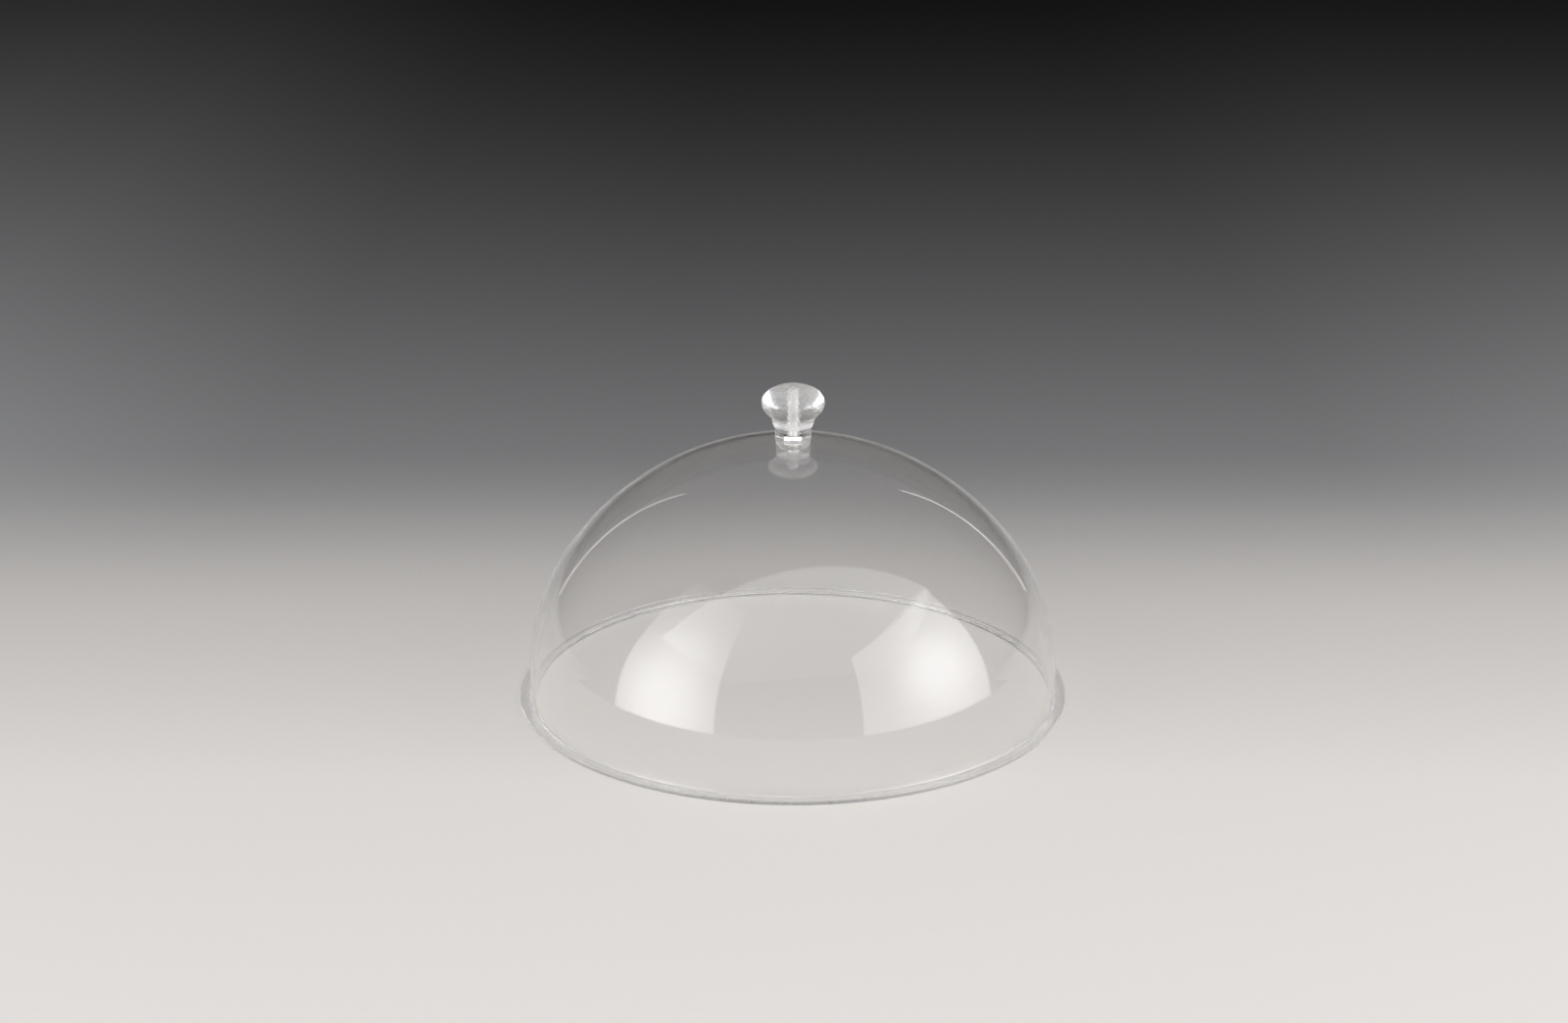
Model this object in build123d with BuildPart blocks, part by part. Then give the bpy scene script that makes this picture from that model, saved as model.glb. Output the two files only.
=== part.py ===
"""Clear acrylic food cover: a dome with a turned-out rim, and a screwed-on knob.

Millimetres, +Z up. The origin is the centre of the circle on which the rim stands.
"""

import os
from math import asin, degrees, radians, tan

from build123d import *

# Dome: outer sizes, then the sheet
rim_diameter = 300.0
wall_diameter = 288.0
dome_height = 142.6
skirt_height = 15.0
shoulder_radius = 110.7
wall_thickness = 2.3
top_thickness = 1.4  # the sheet stretches as the dome is blown
lip_thickness = 2.3
lip_root_radius = 1.4
lip_edge_radius = 0.8
mouth_radius = 1.0
screw_hole_diameter = 5.0

# Knob: heights are above the foot of its stem
stem_diameter = 19.3
collar_level = 8.0
collar_base_diameter = 20.8
collar_flare = 17.0  # degrees that the collar's side leans out
head_level = 20.95
head_diameter = 33.8
head_crown = 9.7
head_belly = 11.0
neck_radius = 2.0
foot_radius = 0.4
bore_diameter = 4.6
bore_depth = 25.75
drill_point_angle = 118.0

# M4 screw, hexagon nut and flat washer
thread_diameter = 4.0
thread_clearance = 0.05
nut_across_flats = 7.0
nut_height = 3.2
nut_chamfer_angle = 30.0
pocket_clearance = 0.05
screw_length = 12.0
screw_tip_chamfer = 0.6
head_width = 8.0
head_height = 2.6
head_edge_height = 1.2
recess_span = 4.2
recess_width = 1.1
recess_depth = 1.7
recess_taper = 8.0
flat_washer_diameter = 9.0
flat_washer_thickness = 0.8
flat_washer_hole = 4.3
flat_washer_edge = 0.1

# Soft clear washers, thickness at the thinnest place
seat_washer_diameter = 18.4
seat_washer_thickness = 1.75
inner_washer_diameter = 16.0
inner_washer_thickness = 1.2
soft_washer_edge = 0.3

wall_radius = wall_diameter / 2
mouth_wall_radius = wall_radius - wall_thickness


def crown_arc(radius, height, shoulder):
    """Centre height and radius of the arc over the top that meets the shoulder's arc without a kink."""
    across = radius - shoulder
    rise = height - shoulder
    centre = (rise**2 - across**2 - skirt_height**2) / (2 * (rise - skirt_height))
    return centre, height - centre


# The outside and the inside of the dome are each two tangent arcs above a straight skirt
inner_height = dome_height - top_thickness
inner_shoulder_radius = shoulder_radius - top_thickness
crown_centre, crown_radius = crown_arc(wall_radius, dome_height, shoulder_radius)
inner_crown_centre, inner_crown_radius = crown_arc(mouth_wall_radius, inner_height, inner_shoulder_radius)

# The stack along the screw, from the dome's top outwards and inwards
foot_level = dome_height + seat_washer_thickness
inner_washer_rim = (inner_crown_radius**2 - (inner_washer_diameter / 2) ** 2) ** 0.5
inner_washer_level = inner_crown_centre + inner_washer_rim - inner_washer_thickness
flat_washer_level = inner_washer_level - flat_washer_thickness
on_base = (Align.CENTER, Align.CENTER, Align.MIN)


def dome_curve(wall, shoulder, crown, centre):
    """One side of the dome, from its top down to its skirt: the arc over the top, then the shoulder's."""
    across = wall - shoulder
    crown_angle = degrees(asin(across / (crown - shoulder)))
    over_top = CenterArc((0, centre), crown, 90 - crown_angle, crown_angle)
    down_side = CenterArc((across, skirt_height), shoulder, 0, 90 - crown_angle)
    return over_top, down_side


with BuildPart() as dome:
    with BuildSketch(Plane.XZ) as dome_section:
        with BuildLine():
            outer_crown, outer_shoulder = dome_curve(wall_radius, shoulder_radius, crown_radius, crown_centre)
            inner_crown, inner_shoulder = dome_curve(
                mouth_wall_radius, inner_shoulder_radius, inner_crown_radius, inner_crown_centre
            )
            Polyline(
                outer_shoulder @ 0,
                (wall_radius, lip_thickness),
                (rim_diameter / 2, lip_thickness),
                (rim_diameter / 2, 0),
                (mouth_wall_radius, 0),
                inner_shoulder @ 0,
            )
            Line(inner_crown @ 1, outer_crown @ 1)
        make_face()
        rim_corners = dome_section.vertices().group_by(Axis.X)[-1]
        fillet(rim_corners, lip_edge_radius)
        lip_root = dome_section.vertices().sort_by_distance((wall_radius, lip_thickness))[0]
        fillet(lip_root, lip_root_radius)
        mouth = dome_section.vertices().sort_by_distance((mouth_wall_radius, 0))[0]
        fillet(mouth, mouth_radius)
    revolve(axis=Axis.Z)
    with Locations((0, 0, dome_height)):
        Hole(screw_hole_diameter / 2, 2 * wall_thickness)

with BuildPart() as knob:
    with BuildSketch(Plane.XZ) as knob_section:
        with BuildLine():
            head_centre = (0, foot_level + head_level)
            collar_base = (collar_base_diameter / 2, foot_level + collar_level)
            flare = (head_level - collar_level) * tan(radians(collar_flare))
            collar_end = (collar_base_diameter / 2 + flare, foot_level + head_level)
            collar_side = Line(collar_base, collar_end, mode=Mode.PRIVATE)
            crown = EllipticalCenterArc(head_centre, head_diameter / 2, head_crown, 90, arc_size=-90)
            belly = EllipticalCenterArc(head_centre, head_diameter / 2, head_belly, 0, arc_size=collar_side)
            Polyline(
                belly @ 1,
                collar_base,
                (stem_diameter / 2, foot_level + collar_level),
                (stem_diameter / 2, foot_level),
                (0, foot_level),
                crown @ 0,
            )
        make_face()
        neck = knob_section.vertices().sort_by_distance(belly @ 1)[0]
        fillet(neck, neck_radius)
        foot = knob_section.vertices().sort_by_distance((stem_diameter / 2, foot_level))[0]
        fillet(foot, foot_radius)
    revolve(axis=Axis.Z)
    with BuildSketch(Plane.XY.offset(foot_level)):
        pocket_radius = nut_across_flats / 2 + pocket_clearance
        RegularPolygon(pocket_radius, 6, major_radius=False, rotation=30)
    extrude(amount=nut_height, mode=Mode.SUBTRACT)
    with Locations((0, 0, foot_level)):
        Cylinder(bore_diameter / 2, bore_depth, align=on_base, mode=Mode.SUBTRACT)
    with Locations((0, 0, foot_level + bore_depth)):
        drill_point = bore_diameter / 2 / tan(radians(drill_point_angle / 2))
        Cone(bore_diameter / 2, 0, drill_point, align=on_base, mode=Mode.SUBTRACT)

with BuildPart() as knob_nut:
    with BuildSketch(Plane.XY.offset(foot_level)):
        RegularPolygon(nut_across_flats / 2, 6, major_radius=False, rotation=30)
    extrude(amount=nut_height)
    with BuildSketch(Plane.XZ):
        corner = nut_across_flats / 3**0.5
        bevel = (corner - nut_across_flats / 2) * tan(radians(nut_chamfer_angle))
        with BuildLine():
            Polyline(
                (0, foot_level),
                (nut_across_flats / 2, foot_level),
                (corner, foot_level + bevel),
                (corner, foot_level + nut_height - bevel),
                (nut_across_flats / 2, foot_level + nut_height),
                (0, foot_level + nut_height),
                close=True,
            )
        make_face()
    revolve(axis=Axis.Z, mode=Mode.INTERSECT)
    with Locations((0, 0, foot_level)):
        Hole(thread_diameter / 2 + thread_clearance, 2 * nut_height)

with BuildPart() as seat_washer:
    with BuildSketch(Plane.XY.offset(dome_height - soft_washer_edge)):
        Circle(seat_washer_diameter / 2)
        Circle(screw_hole_diameter / 2, mode=Mode.SUBTRACT)
    extrude(amount=seat_washer_thickness + soft_washer_edge)
    rounded = seat_washer.edges().group_by(Axis.Z)[-1].sort_by(SortBy.RADIUS)[-1]
    fillet(rounded, soft_washer_edge)
    with Locations((0, 0, crown_centre)):
        Sphere(crown_radius, mode=Mode.SUBTRACT)

with BuildPart() as inner_washer:
    with BuildSketch(Plane.XY.offset(inner_washer_level)):
        Circle(inner_washer_diameter / 2)
        Circle(screw_hole_diameter / 2, mode=Mode.SUBTRACT)
    extrude(amount=2 * inner_washer_thickness)
    with Locations((0, 0, inner_crown_centre)):
        Sphere(inner_crown_radius, mode=Mode.INTERSECT)
    rounded = inner_washer.edges().group_by(Axis.Z)[0].sort_by(SortBy.RADIUS)[-1]
    fillet(rounded, soft_washer_edge)

with BuildPart() as flat_washer:
    with BuildSketch(Plane.XY.offset(flat_washer_level)):
        Circle(flat_washer_diameter / 2)
        Circle(flat_washer_hole / 2, mode=Mode.SUBTRACT)
    extrude(amount=flat_washer_thickness)
    chamfer(flat_washer.edges().filter_by(GeomType.CIRCLE), flat_washer_edge)

with BuildPart() as screw:
    with BuildSketch(Plane.XZ):
        with BuildLine():
            crown_of_head = (0, flat_washer_level - head_height)
            Line(crown_of_head, (0, flat_washer_level + screw_length))
            Polyline(
                (0, flat_washer_level + screw_length),
                (thread_diameter / 2 - screw_tip_chamfer, flat_washer_level + screw_length),
                (thread_diameter / 2, flat_washer_level + screw_length - screw_tip_chamfer),
                (thread_diameter / 2, flat_washer_level),
                (head_width / 2, flat_washer_level),
                (head_width / 2, flat_washer_level - head_edge_height),
            )
            TangentArc(crown_of_head, (head_width / 2, flat_washer_level - head_edge_height), tangent=(1, 0))
        make_face()
    revolve(axis=Axis.Z)
    with BuildSketch(Plane.XY.offset(flat_washer_level - head_height)):
        Rectangle(recess_span, recess_width)
        Rectangle(recess_width, recess_span)
    extrude(amount=recess_depth, taper=recess_taper, mode=Mode.SUBTRACT)

pieces = {
    "dome": dome,
    "knob": knob,
    "knob_nut": knob_nut,
    "seat_washer": seat_washer,
    "inner_washer": inner_washer,
    "flat_washer": flat_washer,
    "screw": screw,
}
os.makedirs("parts", exist_ok=True)
for name, piece in pieces.items():
    piece.part.label = name
    export_step(piece.part, f"parts/{name}.step")
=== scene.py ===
"""Clear acrylic food cover: its looks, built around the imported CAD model, in metres, +Z up."""

import math
from collections import namedtuple

import bpy
import numpy as np
from bpy.props import FloatProperty, FloatVectorProperty, IntProperty, PointerProperty
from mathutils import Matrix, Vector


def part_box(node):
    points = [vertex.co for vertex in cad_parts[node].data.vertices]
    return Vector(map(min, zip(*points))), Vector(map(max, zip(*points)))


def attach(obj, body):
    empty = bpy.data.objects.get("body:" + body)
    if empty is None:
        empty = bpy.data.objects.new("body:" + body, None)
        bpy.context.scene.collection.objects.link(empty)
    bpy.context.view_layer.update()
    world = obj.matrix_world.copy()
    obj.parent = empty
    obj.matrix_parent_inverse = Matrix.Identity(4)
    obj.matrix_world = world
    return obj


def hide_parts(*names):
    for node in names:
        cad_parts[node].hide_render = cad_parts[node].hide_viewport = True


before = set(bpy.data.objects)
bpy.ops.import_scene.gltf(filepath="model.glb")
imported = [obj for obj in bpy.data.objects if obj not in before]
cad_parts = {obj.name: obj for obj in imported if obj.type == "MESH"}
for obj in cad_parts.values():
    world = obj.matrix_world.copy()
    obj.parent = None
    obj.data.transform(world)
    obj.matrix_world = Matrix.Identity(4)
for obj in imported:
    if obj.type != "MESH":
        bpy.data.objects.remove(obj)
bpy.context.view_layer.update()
DOME_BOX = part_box("dome")
KNOB_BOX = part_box("knob")
SCREW_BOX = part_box("screw")

bl_info = {
    "name": "Acrylic Food Cover",
    "version": (1, 0, 0),
    "blender": (4, 5, 0),
    "location": "3D View > Sidebar > Food Cover",
    "description": "Builds a clear dome food cover with its knob and fixings, on a studio floor",
    "category": "Object",
}

# Picture
IMAGE_SIZE = (1600, 1044)
SENSOR_WIDTH = 36.0
LIGHT_BOUNCES = 160  # light runs far round inside the dome's sheet

# Clear plastics
ACRYLIC_IOR = 1.49
SOFT_IOR = 1.43
SOFT_CLEARNESS = 0.9
DUST_ROUGHNESS = 0.3
SHEET_FACES = 2.0  # a sheet mirrors with its outside and its inside
SOFT_MIRROR = 0.05  # roughness of the faces as soft light meets them
CLEAR_PASS = (0.985, 0.985, 0.985, 1.0)  # lamp light that a polished face lets by
SATIN_PASS = (0.9, 0.9, 0.9, 1.0)  # lamp light that a satin or cloudy face lets by

# Patterns of the finishes: cycles to the metre, and the noise between which each shows
SMUDGE_SCALE = 9.0
SMUDGE_SPAN = (0.45, 0.8)
SCRATCH_SCALE = (25.0, 25.0, 2500.0)
SCRATCH_SPAN = (0.68, 0.76)
SCRATCH_ROUGHNESS = 0.05
CUT_SCALE = 3000.0
CUT_BUMP_STRENGTH = 0.5
CUT_BUMP_HEIGHT = 0.0001
CLOUD_SCALE = 700.0
CLOUD_ROUGHNESS = (0.12, 0.3)
PLATING_SCALE = 1800.0
PLATING_ROUGHNESS = (0.16, 0.32)
PLATING_SHADE = 0.9  # the darkest grain, as a share of the steel's colour
GRAIN_SPAN = (0.3, 0.7)
WORN_SHARE = 0.6  # the mouth's rounding is scuffed up to this share of its radius

# Thread
THREAD_FLAT = 0.1  # share of the triangle wave that is cut off at the root and at the crest

# Floor: a range of places in metres, then the values at its two ends
FLOOR_HALF = 12.0
FLOOR_DROP = 0.00025  # below the rim, so that the two don't share a plane
FLOOR_ROUGHNESS = 0.85
NEAR_EASE = (-0.12, 0.5, 1.0, 0.485)  # near colour by the place from front to back
# Painted light falloff: the near colour darkens away from the axis, and the far colour falls more slowly at
# the left and is lifted at both sides
NEAR_PAINTED_FALLOFF = (0.65, 2.2, 1.0, 0.3)  # near colour by the distance from the axis
FAR_RATE = (-0.9, -0.1, -0.85, -1.245)  # far colour's fall for each metre, by the place from left to middle
FAR_PAINTED_SIDE_LIGHT = (0.38, 0.68, 1.0, 1.33)  # far colour by the distance to either side
FAR_BLEND = (0.11, 0.44)  # where the near colour turns into the far one

# Lamps and room
LAMP_DISTANCE = 2.2
STUDIO_GRADE = (-0.2, 0.8)  # the room darkens from the first to the second value of a ray's Y
MIRRORED = 0.5  # a Glossy Depth above this has been mirrored
MIRRORED_AGAIN = 1.5  # and one above this more than once

Glow = namedtuple("Glow", "base peak spot spread")


def length(name, description, default):
    """A size in metres that a user may change."""
    return FloatProperty(
        name=name, description=description, default=default, min=0.0, precision=5, unit="LENGTH"
    )


def colour(name, description, default):
    """A linear colour that a user may change."""
    return FloatVectorProperty(
        name=name, description=description, default=default, size=3, min=0.0, max=1.0, subtype="COLOR"
    )


def number(name, description, default):
    """A plain number that a user may change."""
    return FloatProperty(name=name, description=description, default=default, min=0.0, precision=4)


def count(name, description, default):
    """A number of faces that a user may change."""
    return IntProperty(name=name, description=description, default=default, min=24)


class CoverDomeSizes(bpy.types.PropertyGroup):
    """Sizes of the dome's sheet, its rim and its screw hole."""

    rim_radius: length("Rim radius", "Outer radius of the turned-out rim", DOME_BOX[1].x)
    wall_radius: length("Wall radius", "Outer radius of the straight skirt", 0.144)
    height: length("Height", "Height of the dome's outside without its screw hole", 0.1426)
    skirt: length("Skirt", "Height of the straight skirt above the floor", 0.015)
    shoulder: length("Shoulder radius", "Radius of the arc above the skirt", 0.1107)
    wall: length("Wall", "Thickness of the sheet at the skirt", 0.0023)
    top_wall: length("Top wall", "Thickness of the sheet at the top, where forming has stretched it", 0.0014)
    lip: length("Lip", "Thickness of the rim's lip", 0.0023)
    lip_root: length("Lip root radius", "Radius between the wall and the lip", 0.0014)
    mouth: length("Mouth radius", "Radius between the underside and the inside", 0.001)
    lip_edge: length("Lip edge radius", "Radius of the lip's outer edges", 0.0008)
    hole_radius: length("Hole radius", "Radius of the screw hole", 0.0025)
    hole_edge: length("Hole edge", "Radius of the screw hole's edges", 0.0002)
    columns: count("Columns", "Faces round the dome", 288)


class CoverKnobSizes(bpy.types.PropertyGroup):
    """Sizes of the knob; heights are above the foot of its stem."""

    foot: length("Foot height", "Height of the stem's foot above the floor", KNOB_BOX[0].z)
    stem_radius: length("Stem radius", "Radius of the straight stem", 0.00965)
    collar_height: length("Collar height", "Height of the collar's lower edge", 0.008)
    collar_radius: length("Collar radius", "Radius of the collar's lower edge", 0.0104)
    collar_flare: number("Collar flare", "Degrees by which the collar's side leans out", 17.0)
    collar_band: length("Collar band", "Height of the satin band above the collar's lower edge", 0.0025)
    head_height: length("Head height", "Height of the head's widest place", 0.02095)
    head_radius: length("Head radius", "Radius of the head", KNOB_BOX[1].x)
    crown: length("Crown", "Rise of the head above its widest place", 0.0097)
    belly: length("Belly", "Half height of the ellipse below its widest place", 0.011)
    neck_radius: length("Neck radius", "Radius between the belly and the collar", 0.002)
    foot_radius: length("Foot radius", "Radius of the stem's lower edge", 0.0004)
    edge_radius: length("Edge radius", "Radius of the other turned edges", 0.00015)
    pocket_apothem: length("Pocket half width", "Half the width across flats of the nut's pocket", 0.00355)
    pocket_depth: length("Pocket depth", "Depth of the nut's pocket", 0.0032)
    bore_radius: length("Bore radius", "Radius of the blind bore", 0.0023)
    bore_depth: length("Bore depth", "Depth of the bore's straight wall", 0.02575)
    drill_angle: number("Drill point angle", "Full angle in degrees of the bore's pointed end", 118.0)
    columns: count("Columns", "Faces round the knob", 240)


class CoverScrewSizes(bpy.types.PropertyGroup):
    """Sizes of the M4 screw, whose head points down into the dome."""

    tip: length("Tip height", "Height of the screw's tip above the floor", SCREW_BOX[1].z)
    shank: length("Shank", "Length of the screw without its head", 0.012)
    thread_radius: length("Thread radius", "Radius over the thread's crests", 0.002)
    thread_depth: length("Thread depth", "Depth of the thread", 0.00042)
    pitch: length("Pitch", "Rise of the thread in one turn", 0.0007)
    chamfer: length("Chamfer", "Chamfer of the tip", 0.0006)
    head_radius: length("Head radius", "Radius of the pan head", SCREW_BOX[1].x)
    head_height: length("Head height", "Height of the pan head without its recess", 0.0026)
    head_edge: length("Head edge", "Height of the head's upright edge", 0.0012)
    edge_radius: length("Edge radius", "Radius of the head's edge beside the washer", 0.00015)
    recess_span: length("Recess span", "Length of each arm pair of the cross recess", 0.0042)
    recess_width: length("Recess width", "Width of the cross recess's arms", 0.0011)
    recess_depth: length("Recess depth", "Depth of the cross recess", 0.0017)
    recess_slope: length("Recess slope", "Width that the recess's leaning walls take", 0.00024)
    columns: count("Columns", "Faces round the screw", 144)


class CoverColours(bpy.types.PropertyGroup):
    """Colours of the finishes."""

    acrylic: colour("Acrylic", "Tint of the dome's clear acrylic", (0.99, 0.988, 0.986))
    trimmed: colour("Trimmed edge", "Tint of the rim's cut edge", (0.985, 0.955, 0.935))
    knob: colour("Knob", "Tint of the knob's clear acrylic", (0.99, 0.985, 0.984))
    soft: colour("Soft washer", "Tint of the clear soft washers", (0.9, 0.9, 0.88))
    steel: colour("Plated steel", "Colour of the plated steel", (0.87, 0.865, 0.86))
    floor_near: colour("Near floor", "Floor in front of the cover", (0.776, 0.745, 0.722))
    floor_far: colour("Far floor", "Floor behind the cover, before it fades", (0.406, 0.406, 0.418))
    # Painted reflection: the far floor is painted paler where the cover mirrors it
    floor_painted_paler_for_mirrors: colour("Mirrored floor", "Far floor as the cover mirrors it", (0.78, 0.77, 0.757))
    studio_front: colour("Front of the room", "Room in front, as the cover mirrors it", (0.43, 0.415, 0.405))
    studio_back: colour("Back of the room", "Room behind, as the cover mirrors it", (0.02, 0.02, 0.0205))
    studio_guided: colour("Guided light", "Room for light led inside the acrylic", (0.57, 0.545, 0.52))


class CoverStage(bpy.types.PropertyGroup):
    """Camera, lamps and floor."""

    camera_distance: length("Camera distance", "From the lens to the middle of the rim's circle", 1.5)
    camera_elevation: number("Camera elevation", "Degrees above the floor", 22.95)
    camera_focus: number("Focal length in pixels", "In the 1600 pixel wide picture", 2765.0)
    rim_column: number("Rim column", "Pixel column of the rim's middle in the picture", 809.0)
    rim_row: number("Rim row", "Pixel row of the rim's middle in the picture", 702.8)
    sheet_edge: length("Sheet edge", "How far in front of the cover's axis the mirrored floor ends", 0.44)
    fill: number("Fill", "Strength of the even light from all round", 0.255)
    left_lamp: number("Left softbox", "Radiance that its bright spot adds", 4.2)
    right_lamp: number("Right softbox", "Radiance that its bright spot adds", 3.5)


class CoverSettings(bpy.types.PropertyGroup):
    """All of the cover's settings."""

    dome: PointerProperty(type=CoverDomeSizes)
    knob: PointerProperty(type=CoverKnobSizes)
    screw: PointerProperty(type=CoverScrewSizes)
    colours: PointerProperty(type=CoverColours)
    stage: PointerProperty(type=CoverStage)


def arc(centre, radius, start, stop, points):
    """Points on a circle: the centre plus the radius times cosine and sine of evenly spaced degrees."""
    angle = np.radians(np.linspace(start, stop, points))
    return np.asarray(centre) + radius * np.stack([np.cos(angle), np.sin(angle)], 1)


def ellipse(radius, middle, rise, angle):
    """Points on an ellipse: the radius times the cosine, and the middle plus the rise times the sine."""
    return np.stack([radius * np.cos(angle), middle + rise * np.sin(angle)], -1)


def straight(start, stop, points):
    """Evenly spaced points from start to stop."""
    share = np.linspace(0, 1, points)[:, None]
    return np.asarray(start) * (1 - share) + np.asarray(stop) * share


def rounding(before, corner, after, radius, points):
    """The arc that rounds a corner: it touches both sides at radius over the half angle's tangent.

    Its points lie between the two spokes from its centre, each weighted by the sine of its share of the turn.
    """
    sides = np.array([before, after]) - np.asarray(corner)
    sides = sides / np.linalg.norm(sides, axis=1)[:, None]
    half = math.acos(np.clip(sides[0] @ sides[1], -1, 1)) / 2
    middle = sides.sum(0) / np.linalg.norm(sides.sum(0))
    centre = np.asarray(corner) + middle * radius / math.sin(half)
    spokes = np.asarray(corner) + sides * radius / math.tan(half) - centre
    turn = math.pi - 2 * half
    share = np.linspace(0, 1, points)[:, None]
    weighted = np.sin((1 - share) * turn) * spokes[0] + np.sin(share * turn) * spokes[1]
    return centre + weighted / math.sin(turn)


def joined(*parts):
    """The parts one after another as one line, without points that repeat the one before."""
    line = np.vstack(parts)
    moves = np.linalg.norm(np.diff(line, axis=0), axis=1) > 1e-8
    return line[np.r_[True, moves]]


def round_angles(columns):
    """Evenly spaced angles round a full turn."""
    return np.arange(columns) * (2 * math.pi / columns)


def carried_round(radius, height, angle):
    """Rings about the Z axis: x and y are the radius times the cosine and the sine of the angle."""
    return np.stack([radius * np.cos(angle), radius * np.sin(angle), height], -1)


def ring_mesh(name, rings, closed=False, first_pole=None, last_pole=None, sharp=40.0):
    """A mesh of rings (rows, columns, 3): quads between neighbours, then a fan to each pole.

    Edges that bend by more than sharp degrees are kept sharp.
    """
    rows, columns = rings.shape[:2]
    row = np.arange(rows if closed else rows - 1)[:, None]
    column = np.arange(columns)[None, :]
    below, beside = (row + 1) % rows, (column + 1) % columns
    places = ((row, column), (below, column), (below, beside), (row, beside))
    corners = [down * columns + across for down, across in places]
    faces = np.stack(corners, -1).reshape(-1, 4).tolist()
    points = rings.reshape(-1, 3)
    column, beside = column[0], beside[0]
    if first_pole is not None:
        points = np.vstack([points, first_pole])
        pole = np.full(columns, len(points) - 1)
        faces += np.stack([pole, column, beside], -1).tolist()
    if last_pole is not None:
        points = np.vstack([points, last_pole])
        pole = np.full(columns, len(points) - 1)
        start = (rows - 1) * columns
        faces += np.stack([pole, start + beside, start + column], -1).tolist()
    mesh = bpy.data.meshes.new(name)
    mesh.from_pydata(points.tolist(), [], faces)
    mesh.shade_smooth()
    mesh.set_sharp_from_angle(angle=math.radians(sharp))
    mesh.validate()
    return mesh


def placed(name, mesh, materials):
    """A new object at the origin with these materials."""
    made = bpy.data.objects.new(name, mesh)
    bpy.context.scene.collection.objects.link(made)
    for material in materials:
        mesh.materials.append(material)
    return made


def add(tree, kind, inputs=None, **settings):
    """A node with its settings, and its inputs set to values or linked to sockets."""
    node = tree.nodes.new(kind)
    for key, value in settings.items():
        setattr(node, key, value)
    for key, value in (inputs or {}).items():
        if isinstance(value, bpy.types.NodeSocket):
            tree.links.new(value, node.inputs[key])
        else:
            node.inputs[key].default_value = value
    return node


def worked(tree, operation, *values, clamp=False):
    """The result of one step of arithmetic."""
    node = add(tree, "ShaderNodeMath", dict(enumerate(values)), operation=operation, use_clamp=clamp)
    return node.outputs[0]


def vector(tree, operation, *values):
    """The node of one step of arithmetic on vectors."""
    return add(tree, "ShaderNodeVectorMath", dict(enumerate(values)), operation=operation)


def ranged(tree, value, low, high, start=0.0, stop=1.0, kind="LINEAR"):
    """A value carried from the range low to high to the range start to stop, and held at its ends."""
    inputs = {"Value": value, "From Min": low, "From Max": high, "To Min": start, "To Max": stop}
    return add(tree, "ShaderNodeMapRange", inputs, interpolation_type=kind).outputs[0]


def noise(tree, place, scale, detail):
    """Even noise over a piece."""
    inputs = {"Vector": place, "Scale": scale, "Detail": detail}
    return add(tree, "ShaderNodeTexNoise", inputs).outputs["Fac"]


def opaque(tint):
    """A colour with its alpha."""
    return (*tint, 1.0)


def mixed(tree, share, first, second):
    """A colour between two colours."""
    inputs = {"Factor": share, 6: first, 7: second}
    return add(tree, "ShaderNodeMix", inputs, data_type="RGBA").outputs[2]


def blended(tree, share, first, second):
    """A shader between two shaders."""
    return add(tree, "ShaderNodeMixShader", {0: share, 1: first, 2: second}).outputs[0]


def blank(name):
    """A material with an empty node tree: also the tree, its output and the place on the piece."""
    material = bpy.data.materials.new(name)
    material.use_nodes = True
    tree = material.node_tree
    tree.nodes.clear()
    output = add(tree, "ShaderNodeOutputMaterial").inputs["Surface"]
    place = add(tree, "ShaderNodeTexCoord").outputs["Object"]
    return material, tree, output, place


def let_lamps_through(tree, shader, tint):
    """The clear shader, swapped for a plain see-through one where lamps and soft light pass it.

    Soft light is mirrored at the front of the piece too, by the share that both faces of a sheet mirror.
    """
    path = add(tree, "ShaderNodeLightPath").outputs
    open_way = add(tree, "ShaderNodeBsdfTransparent", {"Color": tint}).outputs[0]
    mirror = add(tree, "ShaderNodeBsdfGlossy", {"Roughness": SOFT_MIRROR}).outputs[0]
    facing = add(tree, "ShaderNodeFresnel", {"IOR": ACRYLIC_IOR}).outputs[0]
    behind = add(tree, "ShaderNodeNewGeometry").outputs["Backfacing"]
    front = worked(tree, "SUBTRACT", 1.0, behind)
    both = worked(tree, "MULTIPLY", facing, SHEET_FACES, clamp=True)
    thrown = blended(tree, worked(tree, "MULTIPLY", both, front), open_way, mirror)
    soft = blended(tree, path["Is Diffuse Ray"], shader, thrown)
    return blended(tree, path["Is Shadow Ray"], soft, open_way)


def clear_acrylic(name, tint, wave_size, wave_height, haze, dust, clearness):
    """Polished acrylic: faint waves, smudges, hairline scratches from wiping, and traces of haze and dust."""
    material, tree, output, place = blank(name)
    wave = noise(tree, place, 1 / wave_size, 1.0)
    bump = add(tree, "ShaderNodeBump", {"Strength": 1.0, "Distance": wave_height, "Height": wave})
    smudge = ranged(tree, noise(tree, place, SMUDGE_SCALE, 3.0), *SMUDGE_SPAN, 0.0, haze)
    streak = vector(tree, "MULTIPLY", place, SCRATCH_SCALE).outputs[0]
    scratch = ranged(tree, noise(tree, streak, 1.0, 1.0), *SCRATCH_SPAN, 0.0, SCRATCH_ROUGHNESS)
    clear = add(
        tree,
        "ShaderNodeBsdfPrincipled",
        {
            "Base Color": opaque(tint),
            "Roughness": worked(tree, "ADD", smudge, scratch),
            "IOR": ACRYLIC_IOR,
            "Transmission Weight": clearness,
            "Sheen Weight": dust,
            "Sheen Roughness": DUST_ROUGHNESS,
            "Normal": bump.outputs[0],
        },
    )
    tree.links.new(let_lamps_through(tree, clear.outputs[0], CLEAR_PASS), output)
    return material


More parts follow.
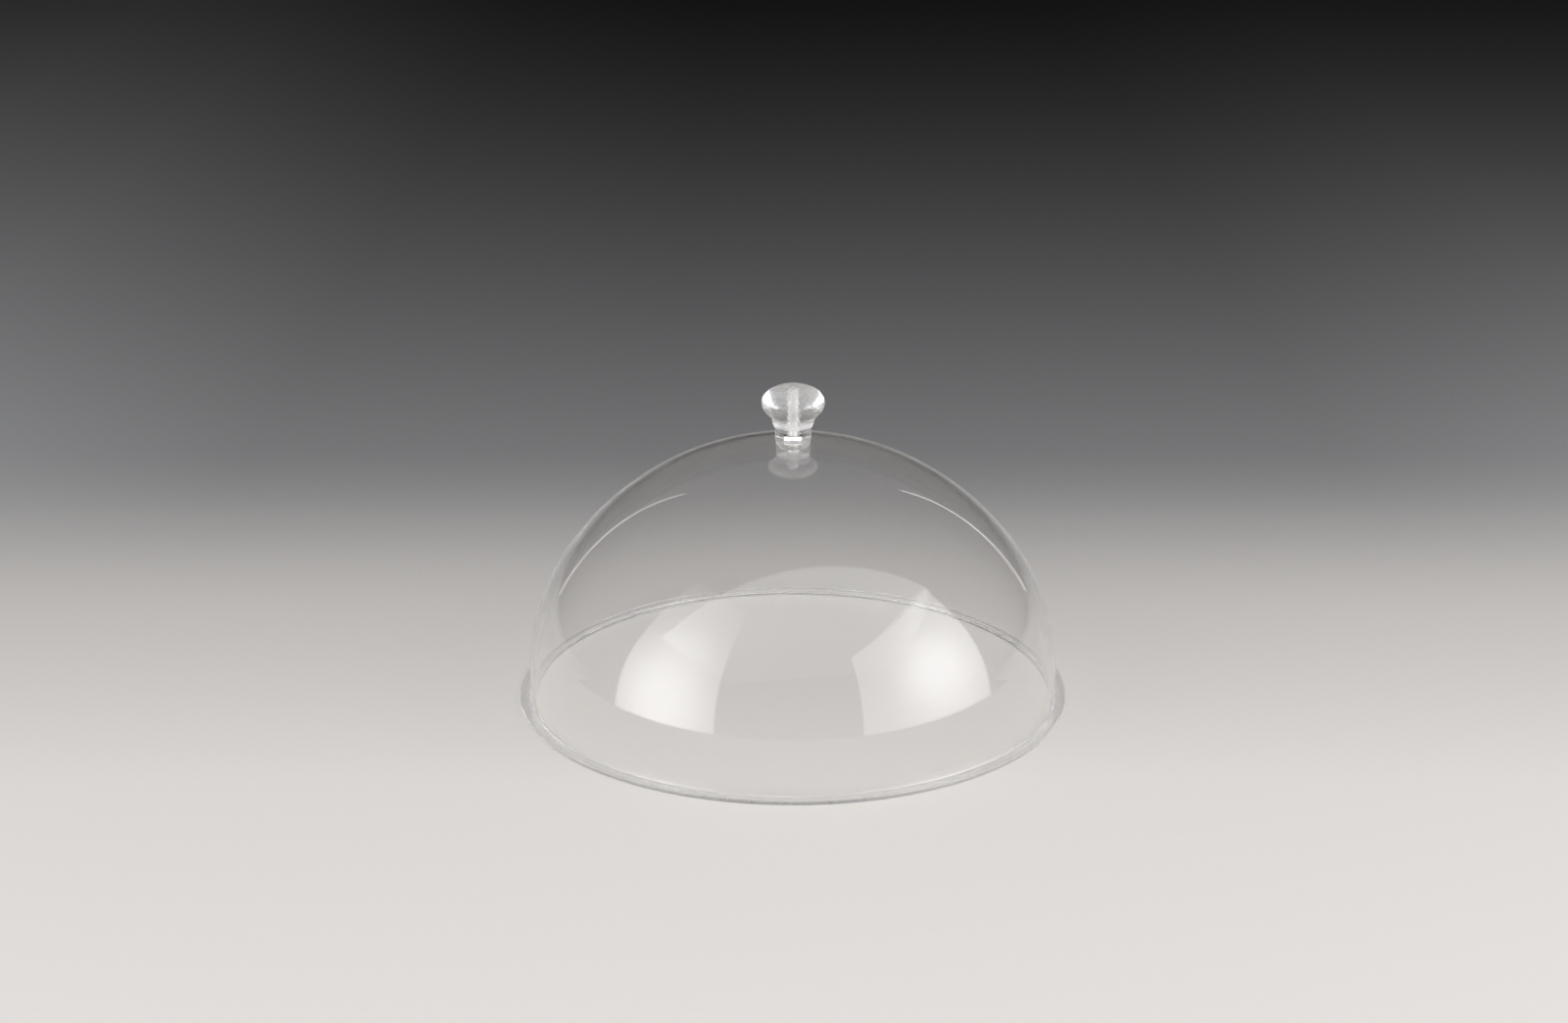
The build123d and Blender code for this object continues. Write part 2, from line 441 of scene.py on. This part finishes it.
def cut_acrylic(name, tint, smooth, rough, clearness):
    """Acrylic that a cutter, a drill or wear has left satin: roughness and a fine bump follow one grain."""
    material, tree, output, place = blank(name)
    grain = noise(tree, place, CUT_SCALE, 4.0)
    bump = add(
        tree,
        "ShaderNodeBump",
        {"Strength": CUT_BUMP_STRENGTH, "Distance": CUT_BUMP_HEIGHT, "Height": grain},
    )
    clear = add(
        tree,
        "ShaderNodeBsdfPrincipled",
        {
            "Base Color": opaque(tint),
            "Roughness": ranged(tree, grain, *GRAIN_SPAN, smooth, rough),
            "IOR": ACRYLIC_IOR,
            "Transmission Weight": clearness,
            "Normal": bump.outputs[0],
        },
    )
    tree.links.new(let_lamps_through(tree, clear.outputs[0], SATIN_PASS), output)
    return material


def clear_soft(name, tint):
    """Clear soft plastic: cloudy inside and satin outside."""
    material, tree, output, place = blank(name)
    cloud = noise(tree, place, CLOUD_SCALE, 3.0)
    clear = add(
        tree,
        "ShaderNodeBsdfPrincipled",
        {
            "Base Color": opaque(tint),
            "Roughness": ranged(tree, cloud, *GRAIN_SPAN, *CLOUD_ROUGHNESS),
            "IOR": SOFT_IOR,
            "Transmission Weight": SOFT_CLEARNESS,
        },
    )
    tree.links.new(let_lamps_through(tree, clear.outputs[0], SATIN_PASS), output)
    return material


def plated_steel(name, tint):
    """Bright plating, whose fine grain shows in its shine and a little in its colour."""
    material, tree, output, place = blank(name)
    grain = noise(tree, place, PLATING_SCALE, 4.0)
    darker = [PLATING_SHADE * part for part in tint]
    metal = add(
        tree,
        "ShaderNodeBsdfPrincipled",
        {
            "Base Color": mixed(tree, grain, opaque(darker), opaque(tint)),
            "Metallic": 1.0,
            "Roughness": ranged(tree, grain, *GRAIN_SPAN, *PLATING_ROUGHNESS),
        },
    )
    tree.links.new(metal.outputs[0], output)
    return material


def dome_arcs(radius, height, skirt, shoulder):
    """Two tangent arcs above a skirt.

    They are given as the shoulder's offset, the crown's centre and radius, and the degrees where they meet.
    """
    across = radius - shoulder
    rise = height - shoulder
    centre = (rise**2 - across**2 - skirt**2) / (2 * (rise - skirt))
    crown = height - centre
    return across, centre, crown, 90 - math.degrees(math.asin(across / (crown - shoulder)))


def dome_outline(sizes):
    """The dome's section: two tangent arcs above a straight skirt and a lip, and two such arcs inside.

    It starts at the top, runs down the outside, round the lip, up the inside and through the screw hole.
    The last value of each arc, rounding and straight is its number of points.
    """
    across, centre, crown, meet = dome_arcs(sizes.wall_radius, sizes.height, sizes.skirt, sizes.shoulder)
    inner = sizes.wall_radius - sizes.wall
    inner_height = sizes.height - sizes.top_wall
    inner_shoulder = sizes.shoulder - sizes.top_wall
    inner_across, inner_centre, inner_crown, inner_meet = dome_arcs(
        inner, inner_height, sizes.skirt, inner_shoulder
    )
    # The arcs stop three edge radii from the hole, to leave room for its rounded edges
    near_hole = sizes.hole_radius + 3 * sizes.hole_edge
    start = 90 - math.degrees(math.asin(near_hole / crown))
    stop = 90 - math.degrees(math.asin(near_hole / inner_crown))
    hole_top = (sizes.hole_radius, centre + math.sqrt(crown**2 - sizes.hole_radius**2))
    hole_foot = (sizes.hole_radius, inner_centre + math.sqrt(inner_crown**2 - sizes.hole_radius**2))
    outside = arc((0, centre), crown, start, meet, 64)
    shoulder = arc((across, sizes.skirt), sizes.shoulder, meet, 0, 44)
    inside_shoulder = arc((inner_across, sizes.skirt), inner_shoulder, 0, inner_meet, 44)
    inside = arc((0, inner_centre), inner_crown, inner_meet, stop, 64)
    wall_top, root = (sizes.wall_radius, sizes.skirt), (sizes.wall_radius, sizes.lip)
    edge_top, edge_foot = (sizes.rim_radius, sizes.lip), (sizes.rim_radius, 0.0)
    mouth, inner_top = (inner, 0.0), (inner, sizes.skirt)
    lip_root = rounding(wall_top, root, edge_top, sizes.lip_root, 14)
    lip_top = rounding(root, edge_top, edge_foot, sizes.lip_edge, 9)
    lip_foot = rounding(edge_top, edge_foot, mouth, sizes.lip_edge, 9)
    lip_under = rounding(edge_foot, mouth, inner_top, sizes.mouth, 18)
    return joined(
        outside,
        shoulder,
        straight(wall_top, lip_root[0], 6),
        lip_root,
        straight(lip_root[-1], lip_top[0], 4),
        lip_top,
        straight(lip_top[-1], lip_foot[0], 3),
        lip_foot,
        straight(lip_foot[-1], lip_under[0], 4),
        lip_under,
        straight(lip_under[-1], inner_top, 6),
        inside_shoulder,
        inside,
        rounding(inside[-1], hole_foot, hole_top, sizes.hole_edge, 5),
        rounding(hole_foot, hole_top, outside[0], sizes.hole_edge, 5),
    )


def knob_neck(sizes, base, lean):
    """The arc of the neck: its centre, the angle where it leaves the belly and its end on the collar's side.

    A centre one neck radius outside the belly's ellipse is sought that is also that far from the side.
    """
    angle = np.radians(np.linspace(0, -80, 4000))
    outward = np.array([math.cos(lean), -math.sin(lean)])
    slope = np.stack([np.cos(angle) / sizes.head_radius, np.sin(angle) / sizes.belly], 1)
    slope /= np.linalg.norm(slope, axis=1)[:, None]
    belly = ellipse(sizes.head_radius, sizes.head_height, sizes.belly, angle)
    centres = belly + sizes.neck_radius * slope
    gap = (centres - base) @ outward - sizes.neck_radius
    touch = float(np.interp(0, -gap, angle))
    centre = np.array([np.interp(touch, angle[::-1], centres[::-1, axis]) for axis in (0, 1)])
    return centre, touch, centre - sizes.neck_radius * outward


def knob_outline(sizes):
    """The knob's outside from apex to foot: two half ellipses, a neck arc, a leaning collar and a stem.

    Also the first and last rows of the collar's satin band.
    """
    lean = math.radians(sizes.collar_flare)
    base = np.array([sizes.collar_radius, sizes.collar_height])
    centre, touch, neck_end = knob_neck(sizes, base, lean)
    crown_angle = np.radians(np.linspace(90, 0, 48))[1:]
    crown = ellipse(sizes.head_radius, sizes.head_height, sizes.crown, crown_angle)
    belly = ellipse(sizes.head_radius, sizes.head_height, sizes.belly, np.linspace(0, touch, 32))
    start = math.degrees(math.atan2(*(belly[-1] - centre)[::-1])) % 360
    stop = math.degrees(math.atan2(*(neck_end - centre)[::-1])) % 360
    neck = arc(centre, sizes.neck_radius, start, stop, 12)
    step = (sizes.stem_radius, sizes.collar_height)
    foot, inward = (sizes.stem_radius, 0.0), (0.0, 0.0)
    collar_edge = rounding(neck_end, base, step, sizes.edge_radius, 5)
    step_root = rounding(base, step, foot, sizes.edge_radius, 5)
    foot_edge = rounding(step, foot, inward, sizes.foot_radius, 7)
    share = sizes.collar_band / math.cos(lean) / np.linalg.norm(neck_end - base)
    band_top = base + (neck_end - base) * share
    above = joined(crown, belly, neck, straight(neck_end, band_top, 6))
    band = joined(straight(band_top, collar_edge[0], 5), collar_edge)
    outline = joined(above, band, step_root, straight(step_root[-1], foot_edge[0], 10), foot_edge)
    return outline, (len(above) - 1, len(above) + len(band) - 2)


def knob_rings(sizes):
    """The knob's rings: its turned outside, then a six-sided pocket, then the bore up to the drill's point.

    The pocket's radius is its half width over the cosine of the angle from the nearest flat.
    Also both poles, the row where the bore starts, and the rows of the satin band.
    """
    outside, band = knob_outline(sizes)
    angle = round_angles(sizes.columns)
    even = np.ones(sizes.columns)
    sixth = math.pi / 3
    six_sided = sizes.pocket_apothem / np.cos((angle + sixth / 2) % sixth - sixth / 2)
    # A ring just outside the pocket's mouth and one just inside its end keep both edges crisp
    pocket_scale = np.array([1.03, 1.0, 1.0, 0.97])
    pocket_height = np.array([0.0, 0.0, sizes.pocket_depth, sizes.pocket_depth])
    wall_height = np.linspace(sizes.pocket_depth, sizes.bore_depth, 24)
    point = sizes.bore_radius / math.tan(math.radians(sizes.drill_angle / 2))
    share = np.linspace(0.2, 0.8, 4)
    bore_height = np.r_[wall_height, sizes.bore_depth + point * share]
    bore_radius = sizes.bore_radius * np.r_[np.ones_like(wall_height), 1 - share]
    radius = np.vstack(
        [outside[:, :1] * even, pocket_scale[:, None] * six_sided, bore_radius[:, None] * even]
    )
    height = np.r_[outside[:, 1], pocket_height, bore_height] + sizes.foot
    rings = carried_round(radius, height[:, None] * even, angle)
    apex = (0.0, 0.0, sizes.foot + sizes.head_height + sizes.crown)
    tip = (0.0, 0.0, sizes.foot + sizes.bore_depth + point)
    return rings, apex, tip, len(outside) + len(pocket_height), band


def screw_rings(sizes):
    """The screw's rings from its tip to its head's middle, and both poles.

    The thread's radius is its root plus its depth times a flattened triangle wave of height over pitch less
    angle over a full turn. The head is a plain turned edge and a shallow round, sunk inside a cross by the
    distance to it.
    """
    angle = round_angles(sizes.columns)
    even = np.ones(sizes.columns)
    seat = sizes.tip - sizes.shank
    drop = np.linspace(0, sizes.shank, 210)[:, None]
    wave = np.abs(2 * ((-drop / sizes.pitch - angle / (2 * math.pi)) % 1) - 1)
    crest = np.clip((wave - THREAD_FLAT) / (1 - 2 * THREAD_FLAT), 0, 1)
    crest = crest * np.clip((sizes.shank - drop) / sizes.pitch, 0, 1)
    thread = sizes.thread_radius - sizes.thread_depth * (1 - crest)
    thread = np.minimum(thread, sizes.thread_radius - sizes.chamfer + drop)
    root = (sizes.thread_radius, 0.0)
    edge_top, edge_foot = (sizes.head_radius, 0.0), (sizes.head_radius, -sizes.head_edge)
    edge = joined(
        straight(root, edge_top, 4)[1:-1],
        rounding(root, edge_top, edge_foot, sizes.edge_radius, 4),
        np.array([edge_foot]),
    )
    # Wide rings near the head's edge, and narrow ones over the recess
    share = np.r_[np.linspace(1.0, 0.6, 12)[1:], np.linspace(0.59, 0.02, 60)]
    spread = sizes.head_radius * share[:, None] * even
    across = np.abs(np.stack([spread * np.cos(angle), spread * np.sin(angle)]))
    half_span, half_width = sizes.recess_span / 2, sizes.recess_width / 2
    along_x = np.maximum(across[0] - half_span, across[1] - half_width)
    along_y = np.maximum(across[1] - half_span, across[0] - half_width)
    sunk = np.clip(-np.minimum(along_x, along_y) / sizes.recess_slope, 0, 1)
    bulge = sizes.head_height - sizes.head_edge
    round_radius = (sizes.head_radius**2 + bulge**2) / (2 * bulge)
    rounded = round_radius - sizes.head_height - np.sqrt(round_radius**2 - spread**2)
    face = rounded * (1 - sunk) + (sizes.recess_depth - sizes.head_height) * sunk
    radius = np.vstack([thread, edge[:, :1] * even, spread])
    height = seat + np.vstack([(sizes.shank - drop) * even, edge[:, 1:] * even, face])
    middle = (0.0, 0.0, seat + sizes.recess_depth - sizes.head_height)
    return carried_round(radius, height, angle), (0.0, 0.0, sizes.tip), middle


class COVER_OT_dome(bpy.types.Operator):
    """Build the clear dome, which stands for the CAD dome"""

    bl_idname = "food_cover.dome"
    bl_label = "Dome"

    def execute(self, context):
        settings = context.scene.food_cover
        sizes, colours = settings.dome, settings.colours
        outline = dome_outline(sizes)
        level = np.broadcast_to(outline[:, 1:], (len(outline), sizes.columns))
        rings = carried_round(outline[:, :1], level, round_angles(sizes.columns))
        mesh = ring_mesh("acrylic_dome", rings, closed=True)
        acrylic = clear_acrylic(
            "polished_acrylic",
            colours.acrylic,
            wave_size=0.055,
            wave_height=0.00004,
            haze=0.02,
            dust=0.01,
            clearness=1.0,
        )
        edge = cut_acrylic("trimmed_acrylic", colours.trimmed, smooth=0.2, rough=0.4, clearness=0.9)
        scuffed = cut_acrylic("scuffed_acrylic", colours.acrylic, smooth=0.12, rough=0.3, clearness=0.85)
        dome = placed("acrylic_dome", mesh, [acrylic, edge, scuffed])
        # The rim's edge is cut, and the underside that it stands on is worn
        radius, height = ((outline + np.roll(outline, -1, 0)) / 2).T
        cut = (radius > sizes.rim_radius - sizes.lip_edge) & (height < sizes.lip)
        worn = ~cut & (height < WORN_SHARE * sizes.mouth)
        slots = np.repeat(cut + 2 * worn, sizes.columns).astype(np.int32)
        mesh.polygons.foreach_set("material_index", slots)
        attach(dome, "cover")
        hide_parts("dome")
        return {"FINISHED"}


class COVER_OT_knob(bpy.types.Operator):
    """Build the clear knob with its nut pocket and drilled bore, which stands for the CAD knob"""

    bl_idname = "food_cover.knob"
    bl_label = "Knob"

    def execute(self, context):
        settings = context.scene.food_cover
        tint = settings.colours.knob
        rings, apex, tip, bored, band = knob_rings(settings.knob)
        mesh = ring_mesh("acrylic_knob", rings, first_pole=apex, last_pole=tip)
        polish = {"wave_size": 0.0018, "haze": 0.03, "dust": 0.1}
        head = clear_acrylic("turned_acrylic", tint, wave_height=0.00025, clearness=0.9, **polish)
        stem = clear_acrylic("stem_acrylic", tint, wave_height=0.00005, clearness=0.98, **polish)
        frosted = cut_acrylic("drilled_acrylic", tint, smooth=0.35, rough=0.6, clearness=0.88)
        satin = cut_acrylic("satin_acrylic", tint, smooth=0.25, rough=0.45, clearness=0.6)
        knob = placed("acrylic_knob", mesh, [head, frosted, satin, stem])
        # The head and its pole, the satin band, the stem with the pocket, then the bore and its pole
        columns = settings.knob.columns
        slots = np.zeros(len(mesh.polygons), np.int32)
        slots[band[0] * columns : band[1] * columns] = 2
        slots[band[1] * columns : bored * columns] = 3
        slots[bored * columns : (len(rings) - 1) * columns] = 1
        slots[-columns:] = 1
        mesh.polygons.foreach_set("material_index", slots)
        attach(knob, "knob")
        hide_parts("knob")
        return {"FINISHED"}


class COVER_OT_fixings(bpy.types.Operator):
    """Build the threaded screw, which stands for the CAD screw, and finish the CAD nut and washers"""

    bl_idname = "food_cover.fixings"
    bl_label = "Nut, screw and washers"

    def execute(self, context):
        settings = context.scene.food_cover
        steel = plated_steel("plated_steel", settings.colours.steel)
        soft = clear_soft("clear_soft_plastic", settings.colours.soft)
        finishes = {
            "knob_nut": steel,
            "flat_washer": steel,
            "seat_washer": soft,
            "inner_washer": soft,
        }
        for name, material in finishes.items():
            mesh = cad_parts[name].data
            mesh.materials.clear()
            mesh.materials.append(material)
        rings, tip, middle = screw_rings(settings.screw)
        mesh = ring_mesh("threaded_screw", rings, first_pole=tip, last_pole=middle)
        screw = placed("threaded_screw", mesh, [steel])
        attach(screw, "screw")
        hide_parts("screw")
        return {"FINISHED"}


def floor_finish(colours, front_edge):
    """Matt sheet, darker towards the back, with painted light falloff.

    Its near colour eases down towards the back, and darkens with the distance from the axis as painted light
    falloff. Behind the cover it turns into the far colour, which falls as e to the power of a rate times the
    distance back, a rate that is slower at the left as painted light, and is lifted at both sides as painted
    light. The cover mirrors a far colour painted paler, a painted reflection, and a front half that ends at a
    round edge.
    """
    material, tree, output, place = blank("sheet_painted_light_falloff")
    axes = add(tree, "ShaderNodeSeparateXYZ", {0: place}).outputs
    reach = vector(tree, "LENGTH", place).outputs["Value"]
    depth = add(tree, "ShaderNodeLightPath").outputs["Glossy Depth"]
    mirrored = worked(tree, "GREATER_THAN", depth, MIRRORED)

    ease = ranged(tree, axes["Y"], *NEAR_EASE)
    # Painted light falloff: the near colour darkens away from the cover's axis
    ease = worked(tree, "MULTIPLY", ease, ranged(tree, reach, *NEAR_PAINTED_FALLOFF))
    near = vector(tree, "SCALE", colours.floor_near)
    tree.links.new(ease, near.inputs["Scale"])

    # Painted light: the far colour falls more slowly at the left and is lifted at both sides
    fade = worked(tree, "MULTIPLY", axes["Y"], ranged(tree, axes["X"], *FAR_RATE))
    painted_side_light = ranged(tree, worked(tree, "ABSOLUTE", axes["X"]), *FAR_PAINTED_SIDE_LIGHT)
    fade = worked(tree, "MULTIPLY", worked(tree, "EXPONENT", fade), painted_side_light)
    # Painted reflection: rays that the cover mirrors see the far floor painted paler
    back = mixed(tree, mirrored, opaque(colours.floor_far), opaque(colours.floor_painted_paler_for_mirrors))
    far = vector(tree, "SCALE", back)
    tree.links.new(fade, far.inputs["Scale"])

    share = ranged(tree, axes["Y"], *FAR_BLEND, kind="SMOOTHSTEP")
    sheet = add(
        tree,
        "ShaderNodeBsdfPrincipled",
        {
            "Base Color": mixed(tree, share, near.outputs[0], far.outputs[0]),
            "Roughness": FLOOR_ROUGHNESS,
            "Specular IOR Level": 0.0,
        },
    )
    before = worked(tree, "LESS_THAN", axes["Y"], 0.0)
    ended = worked(tree, "GREATER_THAN", reach, front_edge)
    ended = worked(tree, "MULTIPLY", worked(tree, "MULTIPLY", ended, mirrored), before)
    gap = add(tree, "ShaderNodeBsdfTransparent").outputs[0]
    tree.links.new(blended(tree, ended, sheet.outputs[0], gap), output)
    return material


def lamp(name, middle, turns, size, glow):
    """A rectangular lamp that neither the lens sees nor rays that pass the acrylic without being mirrored.

    Its radiance is a base plus a peak times e to the power of minus the square of the distance from its
    bright spot, where both are shares of its width and height and the distance is counted in spreads.
    """
    data = bpy.data.lights.new(name, "AREA")
    data.shape = "RECTANGLE"
    data.size, data.size_y = size
    data.energy = math.pi * size[0] * size[1]
    data.use_nodes = True
    tree = data.node_tree
    tree.nodes.clear()
    place = add(tree, "ShaderNodeNewGeometry").outputs["Parametric"]
    away = vector(tree, "SUBTRACT", place, (*glow.spot, 0.0)).outputs[0]
    away = vector(tree, "MULTIPLY", away, (1 / glow.spread[0], 1 / glow.spread[1], 0.0)).outputs[0]
    square = vector(tree, "DOT_PRODUCT", away, away).outputs["Value"]
    bell = worked(tree, "EXPONENT", worked(tree, "MULTIPLY", square, -1.0))
    shine = worked(tree, "MULTIPLY_ADD", bell, glow.peak, glow.base)
    path = add(tree, "ShaderNodeLightPath").outputs
    unturned = worked(tree, "LESS_THAN", path["Glossy Depth"], MIRRORED)
    through = worked(tree, "MULTIPLY", unturned, path["Is Transmission Ray"])
    strength = worked(tree, "MULTIPLY", worked(tree, "SUBTRACT", 1.0, through), shine)
    emission = add(tree, "ShaderNodeEmission", {"Strength": strength})
    add(tree, "ShaderNodeOutputLight", {"Surface": emission.outputs[0]})
    made = bpy.data.objects.new(name, data)
    bpy.context.scene.collection.objects.link(made)
    made.location = middle
    made.rotation_euler = turns
    made.visible_camera = False
    return made


def standing_lamp(name, azimuth, side, high, glow, lean=0.0):
    """An upright lamp that faces the cover's axis, at azimuth degrees from -Y towards +X.

    Its sides and heights are given for each metre of its distance. Its top leans by lean degrees towards
    greater azimuths.
    """
    turn = math.radians(azimuth)
    out = np.array([math.sin(turn), -math.cos(turn)])
    right = np.array([math.cos(turn), math.sin(turn)])
    middle = LAMP_DISTANCE * (out + right * (side[0] + side[1]) / 2)
    height = LAMP_DISTANCE * (high[0] + high[1]) / 2
    size = (LAMP_DISTANCE * (side[1] - side[0]), LAMP_DISTANCE * (high[1] - high[0]))
    return lamp(name, (*middle, height), (math.pi / 2, math.radians(lean), turn), size, glow)


def place_lamps(stage):
    """Two tall softboxes at the sides, two thin strips behind and a wide softbox over the front."""
    standing_lamp(
        "left_softbox",
        azimuth=-55.0,
        side=(-0.424, 0.424),
        high=(-0.13, 1.54),
        glow=Glow(base=0.3, peak=stage.left_lamp, spot=(0.48, 0.17), spread=(0.5, 0.415)),
    )
    standing_lamp(
        "right_softbox",
        azimuth=73.0,
        side=(-0.98, 0.29),
        high=(-0.13, 0.98),
        glow=Glow(base=1.4, peak=stage.right_lamp, spot=(0.665, 0.42), spread=(0.29, 0.38)),
    )
    even = {"peak": 0.0, "spot": (0.5, 0.5), "spread": (1.0, 1.0)}
    thin = (-0.007, 0.007)
    left = standing_lamp("left_strip", -142.0, thin, (-0.02, 0.78), Glow(base=1.8, **even), lean=-12.5)
    right = standing_lamp("right_strip", 143.3, thin, (-0.02, 0.74), Glow(base=2.3, **even), lean=14.0)
    # The strips are there for their reflections, and would mark the floor at their feet
    left.visible_diffuse = right.visible_diffuse = False
    lamp(
        "top_softbox",
        middle=(0.0, -2.42, 2.2),
        turns=(0.0, 0.0, math.radians(13)),
        size=(6.0, 3.7),
        glow=Glow(base=0.3, peak=0.9, spot=(0.5, 1.0), spread=(2.0, 0.5)),
    )


def studio_light(colours, fill):
    """Even light for matt surfaces, while the lens, mirrors and clear pieces see a room.

    The room darkens from front to back. Light that was mirrored more than once, as it is when the acrylic
    leads it along inside, meets a paler room.
    """
    world = bpy.data.worlds.new("studio")
    world.use_nodes = True
    tree = world.node_tree
    tree.nodes.clear()
    path = add(tree, "ShaderNodeLightPath").outputs
    seen = worked(tree, "MAXIMUM", path["Is Camera Ray"], path["Is Glossy Ray"])
    seen = worked(tree, "MAXIMUM", seen, path["Is Transmission Ray"])
    way = add(tree, "ShaderNodeTexCoord").outputs["Generated"]
    back = add(tree, "ShaderNodeSeparateXYZ", {0: way}).outputs["Y"]
    behind = ranged(tree, back, *STUDIO_GRADE)
    graded = mixed(tree, behind, opaque(colours.studio_front), opaque(colours.studio_back))
    guided = worked(tree, "GREATER_THAN", path["Glossy Depth"], MIRRORED_AGAIN)
    shade = mixed(tree, guided, graded, opaque(colours.studio_guided))
    even = add(tree, "ShaderNodeBackground", {"Color": (1.0, 1.0, 1.0, 1.0), "Strength": fill})
    room = add(tree, "ShaderNodeBackground", {"Color": shade, "Strength": 1.0})
    shown = blended(tree, seen, even.outputs[0], room.outputs[0])
    add(tree, "ShaderNodeOutputWorld", {"Surface": shown})
    bpy.context.scene.world = world


def place_floor(settings):
    """The floor: one flat square sheet."""
    half, low = FLOOR_HALF, -FLOOR_DROP
    corners = [(-half, -half, low), (half, -half, low), (half, half, low), (-half, half, low)]
    mesh = bpy.data.meshes.new("floor")
    mesh.from_pydata(corners, [], [(0, 1, 2, 3)])
    floor = placed("floor", mesh, [floor_finish(settings.colours, settings.stage.sheet_edge)])


def place_camera(scene, stage):
    """The camera, tilted and shifted sideways so that the rim's middle falls on its pixel."""
    width, height = IMAGE_SIZE
    focus, distance = stage.camera_focus, stage.camera_distance
    rise = math.radians(stage.camera_elevation)
    drop = math.atan((stage.rim_row - height / 2) / focus)
    data = bpy.data.cameras.new("camera")
    data.sensor_width = SENSOR_WIDTH
    data.lens = focus / width * SENSOR_WIDTH
    camera = bpy.data.objects.new("camera", data)
    scene.collection.objects.link(camera)
    aside = (width / 2 - stage.rim_column) / focus * distance
    camera.location = (aside, -math.cos(rise) * distance, math.sin(rise) * distance)
    camera.rotation_euler = (math.pi / 2 - rise + drop, 0.0, 0.0)
    scene.camera = camera


class COVER_OT_stage(bpy.types.Operator):
    """Build the floor, the lamps and the camera"""

    bl_idname = "food_cover.stage"
    bl_label = "Stage"

    def execute(self, context):
        scene = context.scene
        settings = scene.food_cover
        place_floor(settings)
        place_lamps(settings.stage)
        studio_light(settings.colours, settings.stage.fill)
        place_camera(scene, settings.stage)
        scene.view_settings.view_transform = "Standard"
        scene.cycles.max_bounces = LIGHT_BOUNCES
        scene.cycles.glossy_bounces = LIGHT_BOUNCES
        scene.cycles.transmission_bounces = LIGHT_BOUNCES
        return {"FINISHED"}


class COVER_PT_panel(bpy.types.Panel):
    """The cover's settings and operators"""

    bl_label = "Food Cover"
    bl_idname = "COVER_PT_panel"
    bl_space_type = "VIEW_3D"
    bl_region_type = "UI"
    bl_category = "Food Cover"

    def draw(self, context):
        layout = self.layout
        for operator in OPERATORS:
            layout.operator(operator.bl_idname)
        settings = context.scene.food_cover
        for group in (settings.dome, settings.knob, settings.screw, settings.colours, settings.stage):
            box = layout.box()
            for key in group.bl_rna.properties.keys():
                if key not in ("rna_type", "name"):
                    box.prop(group, key)


OPERATORS = (COVER_OT_dome, COVER_OT_knob, COVER_OT_fixings, COVER_OT_stage)
GROUPS = (CoverDomeSizes, CoverKnobSizes, CoverScrewSizes, CoverColours, CoverStage, CoverSettings)


def register():
    """Add the classes and the scene's settings."""
    for made in GROUPS + OPERATORS + (COVER_PT_panel,):
        bpy.utils.register_class(made)
    bpy.types.Scene.food_cover = PointerProperty(type=CoverSettings)


def unregister():
    """Take the classes and the scene's settings away."""
    del bpy.types.Scene.food_cover
    for made in reversed(GROUPS + OPERATORS + (COVER_PT_panel,)):
        bpy.utils.unregister_class(made)


def main():
    register()
    bpy.ops.food_cover.dome()
    bpy.ops.food_cover.knob()
    bpy.ops.food_cover.fixings()
    bpy.ops.food_cover.stage()


if __name__ == "__main__":
    main()
